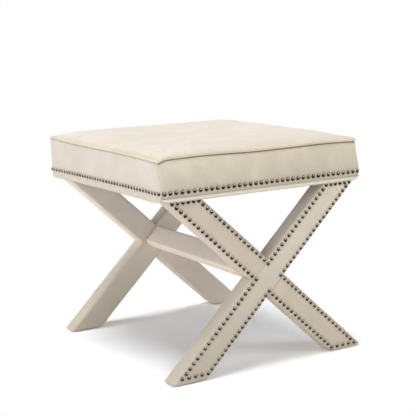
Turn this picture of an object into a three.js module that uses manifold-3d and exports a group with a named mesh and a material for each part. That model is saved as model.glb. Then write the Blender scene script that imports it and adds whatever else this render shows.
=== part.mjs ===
// Upholstered X frame stool: a boxed, crowned seat on two X frames that an upholstered board joins.
// Millimetres, +Z up. X runs along the width of the X frames, Y from the front frame to the back one.
// The origin is on the floor, under the middle of the seat.

import * as THREE from 'three';
import { mergeVertices } from 'three/addons/utils/BufferGeometryUtils.js';
import Module from 'manifold-3d';

const wasm = await Module();
wasm.setup();

// The whole stool
const seatWidth = 494;
const seatDepth = 540;
const legFrameWidth = 478;
const legFrameHeight = 376;
const clearance = 0.3;
const overrun = 20;

// Boards and covers of the X frames
const boardWidth = 52;
const boardDepth = 38;
const coverThickness = 2;
const coverEdgeRadius = 3.5;
const footCornerRound = 12;

// Glides under the feet
const glideRadius = 10;
const glideStand = 2;
const glideEdge = 0.8;
const glidePinRadius = 1.4;
const glidePinLength = 14;

// Stretcher between the two crossings, with its bolts and barrel nuts
const stretcherWidth = 45;
const stretcherThickness = 19;
const stretcherSetIn = 3.2;
const stretcherShift = 4;
const stretcherEdgeRadius = 3;
const boltShankRadius = 3;
const boltHeadRadius = 8.5;
const boltHeadThickness = 2;
const boltReach = 38;
const barrelNutRadius = 5;
const barrelNutLength = 18;
const barrelNutSetback = 26;

// Seat frame
const railHeight = 45;
const endRailWidth = 38;
const sideRailWidth = 20;
const cornerBlockLeg = 62;
const cornerBlockHeight = 38;
const deckThickness = 9;
const dustCoverThickness = 0.8;

// Screws down through the end rails into the legs
const screwRadius = 4;
const screwLength = 78;
const screwHeadWidth = 14;
const screwHeadHeight = 5.5;
const screwFromLegTip = 60;
const washerRadius = 10;
const washerThickness = 1.6;
const counterboreDepth = 9;

// Seat cover
const cornerRadius = 13.5;
const boxingHeight = 85;
const boxingDrawIn = 4.5;
const boxingWall = 2.4;
const lipDrop = 7.9;
const lipTuck = 3;
const lipWall = 4.6;
const nailRowAboveLip = 19.5;
const cornerDroop = 3;
const weltDiameter = 7;
const topPanelThickness = 2.4;
const topPanelRimRise = 7;
const crownRise = 18;

// How sharply the crown turns down at its rim, and how near the corners the top edge droops
const crownPower = 8;
const droopPower = 8;

// How finely the round and soft forms are stepped
const cornerSteps = 6;
const sideSteps = 8;
const lipSteps = 4;
const boxingSteps = 5;
const crownRingCount = 8;
const weltSides = 8;
const edgeSteps = 2;
const curveSteps = 4;
const rodSides = 16;
const hexSides = 6;

const quarterTurn = Math.PI / 2;

// An arm's lean follows from the width and height of its frame and its own width
const armWidth = boardWidth + 2 * (coverThickness + clearance);
const armDepth = boardDepth + 2 * (coverThickness + clearance);
const frameDiagonal = Math.hypot(legFrameWidth, legFrameHeight);
const armAngle = Math.atan2(legFrameHeight, legFrameWidth) + Math.asin(armWidth / frameDiagonal);
const armSin = Math.sin(armAngle);
const armCos = Math.cos(armAngle);

// Where the X frames stand. The seat's lip hangs just in front of their outer faces.
const legInset = lipWall + clearance;
const frameCentreY = seatDepth / 2 - legInset - armDepth / 2;
const innerFaceY = frameCentreY - armDepth / 2;
const footZ = glideStand;
const crossingZ = footZ + legFrameHeight / 2;
const legTopZ = footZ + legFrameHeight;
const boardFootZ = footZ + coverThickness + clearance;

// Heights through the seat, from the legs up
const dustCoverZ = legTopZ + clearance;
const railZ = dustCoverZ + dustCoverThickness + clearance;
const railTopZ = railZ + railHeight;
const deckZ = railTopZ + clearance;
const foamZ = deckZ + deckThickness + clearance;
const lipZ = railZ - lipDrop;
const nailRowZ = lipZ + nailRowAboveLip;
const creaseZ = lipZ + boxingHeight;
const weltZ = creaseZ + clearance + weltDiameter / 2;
const rimZ = creaseZ + topPanelRimRise;

// Distances in from the seat's widest outline, which is at the nail row
const boxingInner = boxingDrawIn + boxingWall;
const frameInset = boxingInner + clearance;
const weltInset = boxingDrawIn + weltDiameter / 2;
const topPanelInset = boxingDrawIn + weltDiameter + clearance;

// The stretcher leans with the long arms. Its wide upper face is set in from their upper edge, and
// its middle is shifted up along them from the crossing.
const stretcherOuterWidth = stretcherWidth + 2 * (coverThickness + clearance);
const stretcherOuterThickness = stretcherThickness + 2 * (coverThickness + clearance);
const stretcherOffset = armWidth / 2 - stretcherSetIn - stretcherOuterThickness / 2;
const stretcherX = stretcherShift * armCos - stretcherOffset * armSin;
const stretcherZ = crossingZ + stretcherShift * armSin + stretcherOffset * armCos;
const stretcherLength = 2 * (innerFaceY - clearance);
const boltTipY = innerFaceY - boltReach;
const boltHeadY = frameCentreY + boardDepth / 2 - boltHeadThickness;

// Screws and glides, measured from the middle of the stool
const screwX = legFrameWidth / 2 - screwFromLegTip;
const counterboreZ = railTopZ - counterboreDepth;
const washerZ = counterboreZ + clearance;
const screwHeadZ = washerZ + washerThickness + clearance;
const screwTipZ = screwHeadZ - screwLength;
const glideX = (crossingZ - boardFootZ) * armCos / armSin;
const glideTopZ = footZ + coverThickness;
const glidePinTopZ = boardFootZ + glidePinLength;

const seatVelvet = { color: 0xe3dacb, roughness: 0.85, metalness: 0 };
const legVelvet = { color: 0xd6cbb8, roughness: 0.85, metalness: 0 };
const softwood = { color: 0xd9b98a, roughness: 0.7, metalness: 0 };
const plywood = { color: 0xc9a372, roughness: 0.75, metalness: 0 };
const foam = { color: 0xf2e6bd, roughness: 0.95, metalness: 0 };
const blackCloth = { color: 0x1d1c1e, roughness: 0.9, metalness: 0 };
const zincSteel = { color: 0xb9bcc0, roughness: 0.35, metalness: 1 };
const nylon = { color: 0x3a3531, roughness: 0.45, metalness: 0 };

const stool = new THREE.Group();

function addPiece(name, geometry, finish) {
  const mesh = new THREE.Mesh(geometry, new THREE.MeshStandardMaterial(finish));
  mesh.name = name;
  stool.add(mesh);
  return mesh;
}

// Solids that can be joined and cut, and back again

function solidOf(geometry) {
  const bare = geometry.clone();
  bare.deleteAttribute('normal');
  bare.deleteAttribute('uv');
  const merged = mergeVertices(bare);
  return new wasm.Manifold(new wasm.Mesh({
    numProp: 3,
    vertProperties: Float32Array.from(merged.attributes.position.array),
    triVerts: Uint32Array.from(merged.index.array),
  }));
}

function geometryOf(solid) {
  const { vertProperties, triVerts } = solid.getMesh();
  return indexedGeometry(Array.from(vertProperties), Array.from(triVerts));
}

function indexedGeometry(positions, indices) {
  const geometry = new THREE.BufferGeometry();
  geometry.setAttribute('position', new THREE.Float32BufferAttribute(positions, 3));
  geometry.setIndex(indices);
  geometry.computeVertexNormals();
  return geometry;
}

// A box between two opposite corners
function block(corner, opposite) {
  const size = corner.map((value, axis) => Math.abs(opposite[axis] - value));
  const middle = corner.map((value, axis) => (opposite[axis] + value) / 2);
  return solidOf(new THREE.BoxGeometry(...size).translate(...middle));
}

function rodAlongZ(radius, x, y, fromZ, toZ, sides = rodSides) {
  const rod = new THREE.CylinderGeometry(radius, radius, Math.abs(toZ - fromZ), sides);
  return solidOf(rod.rotateX(quarterTurn).translate(x, y, (fromZ + toZ) / 2));
}

function rodAlongY(radius, x, z, fromY, toY) {
  const rod = new THREE.CylinderGeometry(radius, radius, Math.abs(toY - fromY), rodSides);
  return solidOf(rod.translate(x, (fromY + toY) / 2, z));
}

// An outline in the X-Z plane given depth along Y, with its rims rounded inside the outline
function slab(outline, depth, edgeRadius = 0) {
  const geometry = new THREE.ExtrudeGeometry(outline, {
    depth: depth - 2 * edgeRadius,
    curveSegments: curveSteps,
    bevelEnabled: edgeRadius > 0,
    bevelSize: edgeRadius,
    bevelThickness: edgeRadius,
    bevelOffset: -edgeRadius,
    bevelSegments: edgeSteps,
  });
  return geometry.translate(0, 0, edgeRadius - depth / 2).rotateX(quarterTurn);
}

function roundedRectangle(halfWidth, halfHeight, radius) {
  const outline = new THREE.Shape();
  const x = halfWidth - radius;
  const y = halfHeight - radius;
  outline.absarc(x, y, radius, 0, quarterTurn);
  outline.absarc(-x, y, radius, quarterTurn, 2 * quarterTurn);
  outline.absarc(-x, -y, radius, 2 * quarterTurn, 3 * quarterTurn);
  outline.absarc(x, -y, radius, 3 * quarterTurn, 4 * quarterTurn);
  return outline;
}

// X frames. Each is made about its own middle plane, and outward is the side that it shows.

// One straight arm through the crossing. Lean 1 rises to the right, -1 to the left.
function armOutline(lean, inset, lowZ, highZ) {
  const half = (armWidth / 2 - inset) / armSin;
  const middleX = (z) => lean * (z - crossingZ) * armCos / armSin;
  const tipX = middleX(lowZ) - lean * half;
  const heelX = middleX(lowZ) + lean * half;
  const outline = new THREE.Shape();
  outline.moveTo(tipX, lowZ);
  outline.lineTo(heelX - lean * footCornerRound, lowZ);
  outline.quadraticCurveTo(
    heelX,
    lowZ,
    heelX + lean * footCornerRound * armCos,
    lowZ + footCornerRound * armSin,
  );
  outline.lineTo(middleX(highZ) + lean * half, highZ);
  outline.lineTo(middleX(highZ) - lean * half, highZ);
  outline.closePath();
  return outline;
}

// An arm that runs on past the floor and the seat, to cut with
function longArm(lean, inset, depth) {
  return slab(armOutline(lean, inset, footZ - overrun, legTopZ + overrun), depth);
}

// The tip of an arm is cut back where the corner of the seat's lip rounds in over it
function tipTrim(lean) {
  return block(
    [lean * (seatWidth / 2 - cornerRadius), -armDepth, lipZ - clearance],
    [lean * seatWidth, armDepth, legTopZ + 2 * overrun],
  );
}

// The two boards are halved into each other. The long leg keeps its outer half there.
function legBoard(lean, outward) {
  const cutSide = lean > 0 ? -outward : outward;
  const halving = longArm(-lean, coverThickness, boardDepth);
  halving.translate(0, cutSide * (boardDepth - clearance) / 2, 0);
  const headPocket = rodAlongY(
    boltHeadRadius + clearance,
    stretcherX,
    stretcherZ,
    outward * (boardDepth / 2 - boltHeadThickness - clearance),
    outward * (boardDepth / 2 + overrun),
  );
  const boltBore = rodAlongY(
    boltShankRadius + clearance,
    stretcherX,
    stretcherZ,
    -boardDepth,
    boardDepth,
  );
  const screwBore = rodAlongZ(
    screwRadius + clearance,
    lean * screwX,
    0,
    screwTipZ - clearance,
    legTopZ + overrun,
  );
  const pinBore = rodAlongZ(
    glidePinRadius + clearance,
    -lean * glideX,
    0,
    0,
    glidePinTopZ + clearance,
  );
  return solidOf(slab(armOutline(lean, coverThickness + clearance, boardFootZ, legTopZ), boardDepth))
    .subtract(solidOf(halving))
    .subtract(tipTrim(lean))
    .subtract(headPocket)
    .subtract(boltBore)
    .subtract(screwBore)
    .subtract(pinBore);
}

// A padded cover round one board: rounded rims, open at the seat, closed under the foot
function armCover(lean) {
  const skin = slab(
    armOutline(lean, 0, footZ, legTopZ + overrun),
    armDepth,
    coverEdgeRadius,
  );
  const cavity = slab(
    armOutline(lean, coverThickness, footZ + coverThickness, legTopZ + 2 * overrun),
    boardDepth + 2 * clearance,
  );
  const aboveLegs = block(
    [-seatWidth, -armDepth, legTopZ],
    [seatWidth, armDepth, legTopZ + 2 * overrun],
  );
  const glideHole = rodAlongZ(glideRadius + clearance, -lean * glideX, 0, 0, boardFootZ);
  return solidOf(skin)
    .subtract(solidOf(cavity))
    .subtract(aboveLegs)
    .subtract(tipTrim(lean))
    .subtract(glideHole);
}

// The long leg's cover is one piece, with ways through it for the cross leg's board and the bolt
function longCover(outward) {
  const boardHole = longArm(-1, coverThickness, boardDepth + 2 * clearance);
  const boltHole = rodAlongY(
    boltShankRadius + clearance,
    stretcherX,
    stretcherZ,
    0,
    -outward * armDepth,
  );
  return armCover(1).subtract(solidOf(boardHole)).subtract(boltHole);
}

// The cross leg's cover is two halves, one above and one below, that butt against the long leg's
function crossCover(side) {
  const longLeg = longArm(1, -clearance, 2 * armDepth);
  const sideHalf = block(
    [-seatWidth, -armDepth, crossingZ],
    [seatWidth, armDepth, crossingZ + side * legFrameHeight],
  );
  return armCover(-1).subtract(solidOf(longLeg)).intersect(sideHalf);
}

// A round glide with a softened rim, and the pin by which it is driven into the foot
function glideGeometry() {
  const profile = [
    new THREE.Vector2(0, 0),
    new THREE.Vector2(glideRadius - glideEdge, 0),
    new THREE.Vector2(glideRadius, glideEdge),
    new THREE.Vector2(glideRadius, glideTopZ),
    new THREE.Vector2(glidePinRadius, glideTopZ),
    new THREE.Vector2(glidePinRadius, glidePinTopZ - glidePinRadius),
    new THREE.Vector2(0, glidePinTopZ),
  ];
  return new THREE.LatheGeometry(profile, rodSides).rotateX(quarterTurn);
}

function screwGeometry(x, y) {
  const headTopZ = screwHeadZ + screwHeadHeight;
  const shank = rodAlongZ(screwRadius, x, y, screwTipZ, (screwHeadZ + headTopZ) / 2);
  const head = rodAlongZ(screwHeadWidth / 2, x, y, screwHeadZ, headTopZ, hexSides);
  return geometryOf(shank.add(head));
}

function washerGeometry(x, y) {
  const disc = rodAlongZ(washerRadius, x, y, washerZ, washerZ + washerThickness);
  const hole = rodAlongZ(screwRadius + clearance, x, y, washerZ - overrun, washerZ + overrun);
  return geometryOf(disc.subtract(hole));
}

const frames = [
  { name: 'front', outward: -1 },
  { name: 'back', outward: 1 },
];

frames.forEach(({ name, outward }, frameIndex) => {
  const placeY = outward * frameCentreY;
  const pieces = [
    [`${name}_long_leg`, legBoard(1, outward), softwood],
    [`${name}_cross_leg`, legBoard(-1, outward), softwood],
    [`${name}_long_sleeve`, longCover(outward), legVelvet],
    [`${name}_upper_sleeve`, crossCover(1), legVelvet],
    [`${name}_lower_sleeve`, crossCover(-1), legVelvet],
  ];
  pieces.forEach(([pieceName, solid, finish]) => {
    addPiece(pieceName, geometryOf(solid), finish).position.y = placeY;
  });
  [-1, 1].forEach((side, sideIndex) => {
    const number = 2 * frameIndex + sideIndex + 1;
    addPiece(`glide_${number}`, glideGeometry(), nylon).position.set(side * glideX, placeY, 0);
    addPiece(`leg_screw_${number}`, screwGeometry(side * screwX, placeY), zincSteel);
    addPiece(`leg_washer_${number}`, washerGeometry(side * screwX, placeY), zincSteel);
  });
});

// Stretcher

function leaningBar(outline, length) {
  return solidOf(slab(outline, length).rotateY(-armAngle).translate(stretcherX, 0, stretcherZ));
}

function plainRectangle(width, height) {
  return new THREE.Shape([
    new THREE.Vector2(-width / 2, -height / 2),
    new THREE.Vector2(width / 2, -height / 2),
    new THREE.Vector2(width / 2, height / 2),
    new THREE.Vector2(-width / 2, height / 2),
  ]);
}

// A barrel nut, or its bore, lies square to the stretcher's wide faces
function barrel(radius, length, outward) {
  const rod = new THREE.CylinderGeometry(radius, radius, length, rodSides);
  rod.rotateX(quarterTurn).rotateY(-armAngle);
  return solidOf(rod.translate(stretcherX, outward * (innerFaceY - barrelNutSetback), stretcherZ));
}

function stretcherBolt(outward) {
  const headTopY = boltHeadY + boltHeadThickness;
  const shank = rodAlongY(
    boltShankRadius,
    stretcherX,
    stretcherZ,
    outward * boltTipY,
    outward * (boltHeadY + headTopY) / 2,
  );
  const head = rodAlongY(
    boltHeadRadius,
    stretcherX,
    stretcherZ,
    outward * boltHeadY,
    outward * headTopY,
  );
  return geometryOf(shank.add(head));
}

let stretcherCore = leaningBar(plainRectangle(stretcherWidth, stretcherThickness), stretcherLength);
frames.forEach(({ name, outward }) => {
  const bore = rodAlongY(
    boltShankRadius + clearance,
    stretcherX,
    stretcherZ,
    outward * (boltTipY - clearance),
    outward * (innerFaceY + overrun),
  );
  const nutBore = barrel(barrelNutRadius + clearance, stretcherThickness + overrun, outward);
  const nut = barrel(barrelNutRadius, barrelNutLength, outward);
  stretcherCore = stretcherCore.subtract(bore).subtract(nutBore);
  addPiece(`stretcher_bolt_${name}`, stretcherBolt(outward), zincSteel);
  addPiece(`barrel_nut_${name}`, geometryOf(nut.subtract(bore)), zincSteel);
});
addPiece('stretcher_core', geometryOf(stretcherCore), softwood);

const stretcherSkin = leaningBar(
  roundedRectangle(stretcherOuterWidth / 2, stretcherOuterThickness / 2, stretcherEdgeRadius),
  stretcherLength,
);
const stretcherCavity = leaningBar(
  plainRectangle(stretcherWidth + 2 * clearance, stretcherThickness + 2 * clearance),
  stretcherLength + overrun,
);
addPiece('stretcher_sleeve', geometryOf(stretcherSkin.subtract(stretcherCavity)), legVelvet);

// Seat frame

const frameHalfX = seatWidth / 2 - frameInset;
const frameHalfY = seatDepth / 2 - frameInset;
const endRailInnerY = frameHalfY - endRailWidth;
const sideRailInnerX = frameHalfX - sideRailWidth;

// A flat board with the seat's rounded outline, inside its cover
function seatBoard(lowZ, thickness) {
  const outline = roundedRectangle(frameHalfX, frameHalfY, cornerRadius - frameInset);
  const geometry = new THREE.ExtrudeGeometry(outline, {
    depth: thickness,
    curveSegments: cornerSteps,
    bevelEnabled: false,
  });
  return solidOf(geometry.translate(0, 0, lowZ));
}

// Screw holes at both ends of one end rail, up through what lies under it as well
function screwHoles(outward) {
  const y = outward * frameCentreY;
  const [left, right] = [-screwX, screwX].map((x) => {
    const bore = rodAlongZ(screwRadius + clearance, x, y, railZ - overrun, railTopZ + overrun);
    const pocket = rodAlongZ(washerRadius + clearance, x, y, counterboreZ, railTopZ + overrun);
    return bore.add(pocket);
  });
  return left.add(right);
}

frames.forEach(({ name, outward }) => {
  const bar = block(
    [-frameHalfX, outward * endRailInnerY, railZ],
    [frameHalfX, outward * frameHalfY, railTopZ],
  );
  const rail = bar.intersect(seatBoard(railZ, railHeight)).subtract(screwHoles(outward));
  addPiece(`${name}_rail`, geometryOf(rail), softwood);
});

[['left', -1], ['right', 1]].forEach(([name, side]) => {
  const bar = new THREE.BoxGeometry(sideRailWidth, 2 * (endRailInnerY - clearance), railHeight);
  const rail = addPiece(`${name}_rail`, bar, softwood);
  rail.position.set(side * (frameHalfX - sideRailWidth / 2), 0, railZ + railHeight / 2);
});

// Triangular blocks glued into the four inside corners
[[1, -1], [1, 1], [-1, 1], [-1, -1]].forEach(([sideX, sideY], index) => {
  const outline = new THREE.Shape([
    new THREE.Vector2(0, 0),
    new THREE.Vector2(-sideX * cornerBlockLeg, 0),
    new THREE.Vector2(0, -sideY * cornerBlockLeg),
  ]);
  const geometry = new THREE.ExtrudeGeometry(outline, {
    depth: cornerBlockHeight,
    bevelEnabled: false,
  });
  const cornerBlock = addPiece(`corner_block_${index + 1}`, geometry, softwood);
  cornerBlock.position.set(
    sideX * (sideRailInnerX - clearance),
    sideY * (endRailInnerY - clearance),
    railZ,
  );
});

addPiece('seat_deck', geometryOf(seatBoard(deckZ, deckThickness)), plywood);

const dustCover = seatBoard(dustCoverZ, dustCoverThickness)
  .subtract(screwHoles(-1))
  .subtract(screwHoles(1));
addPiece('dust_cover', geometryOf(dustCover), blackCloth);

// Seat cover and foam, lofted along the seat's rounded outline

const cornerSigns = [[1, -1], [1, 1], [-1, 1], [-1, -1]];

// A station is a place on the outline at the nail row, its outward direction, and how far the top
// edge of the seat droops there.
function station(x, y, angle) {
  const outShare = (Math.abs(x) / (seatWidth / 2)) * (Math.abs(y) / (seatDepth / 2));
  return {
    x,
    y,
    outX: Math.cos(angle),
    outY: Math.sin(angle),
    droop: cornerDroop * outShare ** droopPower,
  };
}

function cornerStation(corner, angle) {
  const [signX, signY] = cornerSigns[corner % cornerSigns.length];
  return station(
    signX * (seatWidth / 2 - cornerRadius) + cornerRadius * Math.cos(angle),
    signY * (seatDepth / 2 - cornerRadius) + cornerRadius * Math.sin(angle),
    angle,
  );
}

// Stations from the middle of one corner to the middle of another, anticlockwise from above.
// Steps along a side are shorter near its ends, where the cover turns.
function stationsBetween(firstCorner, lastCorner, trimAngle) {
  const stations = [];
  for (let corner = firstCorner; corner <= lastCorner; corner += 1) {
    const squareAngle = (corner - 1) * quarterTurn;
    const nextAngle = squareAngle + quarterTurn;
    const middleAngle = (squareAngle + nextAngle) / 2;
    const start = corner === firstCorner ? middleAngle + trimAngle : squareAngle;
    const end = corner === lastCorner ? middleAngle - trimAngle : nextAngle;
    const steps = Math.ceil(cornerSteps * (end - start) / quarterTurn);
    for (let step = 0; step <= steps; step += 1) {
      stations.push(cornerStation(corner, start + (end - start) * step / steps));
    }
    if (corner === lastCorner) {
      return stations;
    }
    const from = cornerStation(corner, nextAngle);
    const to = cornerStation(corner + 1, nextAngle);
    for (let step = 1; step < sideSteps; step += 1) {
      const share = (1 - Math.cos(Math.PI * step / sideSteps)) / 2;
      const x = from.x + (to.x - from.x) * share;
      const y = from.y + (to.y - from.y) * share;
      stations.push(station(x, y, nextAngle));
    }
  }
  return stations;
}

const placeOut = (place, out, z) => [place.x + place.outX * out, place.y + place.outY * out, z];

// Carries a section of [out, height] points, anticlockwise, along stations. A closed run joins its
// ends, and an open one is capped.
function loftAlong(stations, sectionOf, closed) {
  const sections = stations.map(sectionOf);
  const count = sections[0].length;
  const positions = sections.flatMap((section, index) => (
    section.flatMap(([out, z]) => placeOut(stations[index], out, z))
  ));
  const indices = [];
  const spans = closed ? stations.length : stations.length - 1;
  for (let span = 0; span < spans; span += 1) {
    const base = span * count;
    const nextBase = (span + 1) % stations.length * count;
    for (let point = 0; point < count; point += 1) {
      const beside = (point + 1) % count;
      indices.push(base + point, nextBase + beside, base + beside);
      indices.push(base + point, nextBase + point, nextBase + beside);
    }
  }
  if (!closed) {
    const lastBase = spans * count;
    const cap = (section) => (
      THREE.ShapeUtils.triangulateShape(section.map(([out, z]) => new THREE.Vector2(out, z)), [])
    );
    cap(sections[0]).forEach(([a, b, c]) => indices.push(a, b, c));
    cap(sections[spans]).forEach(([a, b, c]) => indices.push(lastBase + a, lastBase + c, lastBase + b));
  }
  return indexedGeometry(positions, indices);
}

// Boxing strip: tucked under at the lip, widest at the nail row, and drawn in towards the welt
function boxingSection({ droop }) {
  const topZ = creaseZ - droop;
  const section = [];
  for (let step = 0; step < lipSteps; step += 1) {
    const share = step / lipSteps;
    section.push([-lipTuck * (1 - share) ** 2, lipZ + nailRowAboveLip * share]);
  }
  for (let step = 0; step <= boxingSteps; step += 1) {
    const share = step / boxingSteps;
    const drawShare = share * share * (3 - 2 * share);
    section.push([-boxingDrawIn * drawShare, nailRowZ + (topZ - nailRowZ) * share]);
  }
  section.push([-boxingInner, topZ], [-boxingInner, railZ], [-lipWall, railZ], [-lipWall, lipZ]);
  return section;
}

const seamTrim = clearance / 2 / (cornerRadius - boxingInner);
['right', 'back', 'left', 'front'].forEach((name, corner) => {
  const stations = stationsBetween(corner, corner + 1, seamTrim);
  addPiece(`boxing_${name}`, loftAlong(stations, boxingSection, false), seatVelvet);
});

// All the way round, without the last station, which is the first one again
const outlineStations = stationsBetween(0, cornerSigns.length, 0).slice(0, -1);

function weltSection({ droop }) {
  return Array.from({ length: weltSides }, (_, side) => {
    const angle = 4 * quarterTurn * side / weltSides;
    const out = weltDiameter / 2 * Math.cos(angle) - weltInset;
    const up = weltDiameter / 2 * Math.sin(angle);
    return [out, weltZ - droop + up];
  });
}

addPiece('welt', loftAlong(outlineStations, weltSection, true), seatVelvet);

// Shares of the way out from the middle to the rim of the top, closer together towards the rim,
// where the crown turns down
const crownShares = Array.from({ length: crownRingCount }, (_, ring) => (
  Math.sin(quarterTurn * (ring + 1) / crownRingCount)
));

function crownRing(share, drop) {
  return outlineStations.map((place) => {
    const [rimX, rimY] = placeOut(place, -topPanelInset, 0);
    const awayX = Math.abs(rimX * share) / (seatWidth / 2 - topPanelInset);
    const awayY = Math.abs(rimY * share) / (seatDepth / 2 - topPanelInset);
    const crown = crownRise * (1 - awayX ** crownPower) * (1 - awayY ** crownPower);
    const droop = place.droop * share ** (2 * droopPower);
    return [rimX * share, rimY * share, rimZ - drop - droop + crown];
  });
}

// Adds a sheet that goes out from its middle over its rings, and returns where its last ring starts
function addSheet(points, indices, { middle, rings }, facesUp) {
  const count = rings[0].length;
  const first = points.length;
  const addFace = (a, b, c) => indices.push(...(facesUp ? [a, b, c] : [a, c, b]));
  points.push(...rings.flat(), middle);
  const lastRing = first + (rings.length - 1) * count;
  for (let point = 0; point < count; point += 1) {
    const beside = (point + 1) % count;
    addFace(lastRing + count, first + point, first + beside);
    for (let inner = first; inner < lastRing; inner += count) {
      addFace(inner + point, inner + count + point, inner + count + beside);
      addFace(inner + point, inner + count + beside, inner + beside);
    }
  }
  return lastRing;
}

// A closed body between an upper and a lower sheet, whose last rings a wall joins. Both sheets are
// split into triangles alike, so that sheets of one shape stay parallel.
function bodyBetween(upper, lower) {
  const points = [];
  const indices = [];
  const upperRim = addSheet(points, indices, upper, true);
  const lowerRim = addSheet(points, indices, lower, false);
  const count = upper.rings[0].length;
  for (let point = 0; point < count; point += 1) {
    const beside = (point + 1) % count;
    indices.push(upperRim + point, lowerRim + point, lowerRim + beside);
    indices.push(upperRim + point, lowerRim + beside, upperRim + beside);
  }
  return indexedGeometry(points.flat(), indices);
}

// The crowned surface of the seat, or one that lies below it by a drop
const crownSheet = (drop) => ({
  middle: [0, 0, rimZ - drop + crownRise],
  rings: crownShares.map((share) => crownRing(share, drop)),
});

// Top panel: velvet and wadding, of one thickness all over
addPiece('top_panel', bodyBetween(crownSheet(0), crownSheet(topPanelThickness)), seatVelvet);

// Foam: the panel's crown on top, a shoulder under the welt, and straight sides down to the deck
const foamRing = (inset, levelOf) => (
  outlineStations.map((place) => placeOut(place, -inset, levelOf(place)))
);
const foamTop = crownSheet(topPanelThickness + clearance);
foamTop.rings.push(foamRing(topPanelInset, ({ droop }) => creaseZ - droop));
foamTop.rings.push(foamRing(frameInset, ({ droop }) => creaseZ - weltDiameter / 2 - droop));
const foamBase = { middle: [0, 0, foamZ], rings: [foamRing(frameInset, () => foamZ)] };
addPiece('foam_pad', bodyBetween(foamTop, foamBase), foam);

export default stool;
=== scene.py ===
import math

import bmesh
import bpy
from mathutils import Matrix, Vector, kdtree, noise


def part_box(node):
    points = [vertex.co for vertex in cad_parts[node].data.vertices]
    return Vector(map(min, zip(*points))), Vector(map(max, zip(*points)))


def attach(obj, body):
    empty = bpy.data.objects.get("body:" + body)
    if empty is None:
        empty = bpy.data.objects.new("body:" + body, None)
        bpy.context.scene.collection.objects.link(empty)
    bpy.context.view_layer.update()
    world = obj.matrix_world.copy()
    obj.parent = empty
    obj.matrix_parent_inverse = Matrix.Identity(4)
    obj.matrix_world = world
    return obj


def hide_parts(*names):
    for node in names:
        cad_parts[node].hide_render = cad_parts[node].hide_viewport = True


# X frame stool, fully upholstered in ivory velvet: a boxed seat on two X frames that a padded
# stretcher joins. Metres, Z up, X along the width of the X frames, Y from the front frame back.
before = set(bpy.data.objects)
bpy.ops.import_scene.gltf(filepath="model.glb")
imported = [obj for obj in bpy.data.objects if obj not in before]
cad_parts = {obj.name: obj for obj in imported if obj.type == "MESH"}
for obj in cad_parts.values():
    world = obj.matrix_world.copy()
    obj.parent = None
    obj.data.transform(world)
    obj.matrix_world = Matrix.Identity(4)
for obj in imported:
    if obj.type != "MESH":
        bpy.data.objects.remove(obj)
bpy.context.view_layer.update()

# Camera: a long lens a little above seat height, off to the left of the front X frame, and held
# slightly off level. The lens is shifted down, so that the uprights hardly run together.
camera_data = bpy.data.cameras.new("camera")
camera_data.sensor_width = 36
camera_data.lens = 98.42
camera_data.shift_x = 0.0288
camera_data.shift_y = -0.1764
camera = bpy.data.objects.new("camera", camera_data)
bpy.context.scene.collection.objects.link(camera)
camera.matrix_world = (
    Matrix.Translation((-1.29070, -2.20042, 0.76080))
    @ Matrix.Rotation(math.radians(-30.254), 4, "Z")
    @ Matrix.Rotation(math.radians(90 - 6.524), 4, "X")
    @ Matrix.Rotation(math.radians(-2.251), 4, "Z")
)
bpy.context.scene.camera = camera

# X frame boards: planed softwood, two to each frame, halved into each other where they cross.
# They stay as the CAD has them. Growth rings and fibres run along each board.
arm_width = 0.0566
arm_depth = 0.0426
foot_z = 0.002
leg_top_z = 0.378
crossing_z = (foot_z + leg_top_z) / 2
sleeve_low, sleeve_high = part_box("front_long_sleeve")
leg_height = leg_top_z - foot_z
leg_width = -2 * sleeve_low.x
arm_angle = math.atan2(leg_height, leg_width) + math.asin(
    arm_width / math.hypot(leg_width, leg_height)
)
arm_sin = math.sin(arm_angle)
arm_cos = math.cos(arm_angle)
frame_y = -(sleeve_low.y + sleeve_high.y) / 2
ring_spacing = 0.0045
fibre_width = 0.0009
fibre_stretch = 14


def srgb(text):
    """A hex colour as Blender's linear red, green, blue and alpha."""
    shares = [int(text[at:at + 2], 16) / 255 for at in (1, 3, 5)]
    linear = [s / 12.92 if s <= 0.04045 else ((s + 0.055) / 1.055) ** 2.4 for s in shares]
    return (*linear, 1.0)


def set_inputs(tree, node, inputs):
    """Each input of a node gets a value, or a socket that it is linked from."""
    for name, value in inputs.items():
        if isinstance(value, bpy.types.NodeSocket):
            tree.links.new(value, node.inputs[name])
        else:
            node.inputs[name].default_value = value


def add_node(tree, kind, inputs=None, **settings):
    """One shader node with its settings and inputs."""
    node = tree.nodes.new("ShaderNode" + kind)
    for name, value in settings.items():
        setattr(node, name, value)
    set_inputs(tree, node, inputs or {})
    return node


def blend(tree, share, first, second):
    """From one colour to another as the share goes from 0 to 1. Each is a hex text or a socket."""
    first, second = (srgb(one) if isinstance(one, str) else one for one in (first, second))
    return add_node(tree, "MixRGB", {"Fac": share, "Color1": first, "Color2": second}).outputs[0]


def rescale(tree, value, span=(0.0, 1.0), to=(0.0, 1.0)):
    """A value that runs over one span, laid out over another and held at its ends."""
    ends = {"From Min": span[0], "From Max": span[1], "To Min": to[0], "To Max": to[1]}
    return add_node(tree, "MapRange", {"Value": value, **ends}).outputs[0]


def speckle(tree, place, size, detail=2.0, distortion=0.0):
    """Noise from 0 to 1 in patches of about a size in metres."""
    inputs = {"Vector": place, "Scale": 1 / size, "Detail": detail, "Distortion": distortion}
    return add_node(tree, "TexNoise", inputs).outputs[0]


def bump(tree, height, strength, distance):
    """The way out of a surface whose relief is a distance deep."""
    inputs = {"Height": height, "Strength": strength, "Distance": distance}
    return add_node(tree, "Bump", inputs).outputs[0]


def start_material(name):
    """A material, its node tree, its Principled shader and the place on the piece in metres."""
    material = bpy.data.materials.new(name)
    material.use_nodes = True
    tree = material.node_tree
    place = add_node(tree, "TexCoord").outputs["Object"]
    return material, tree, tree.nodes["Principled BSDF"], place


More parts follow.
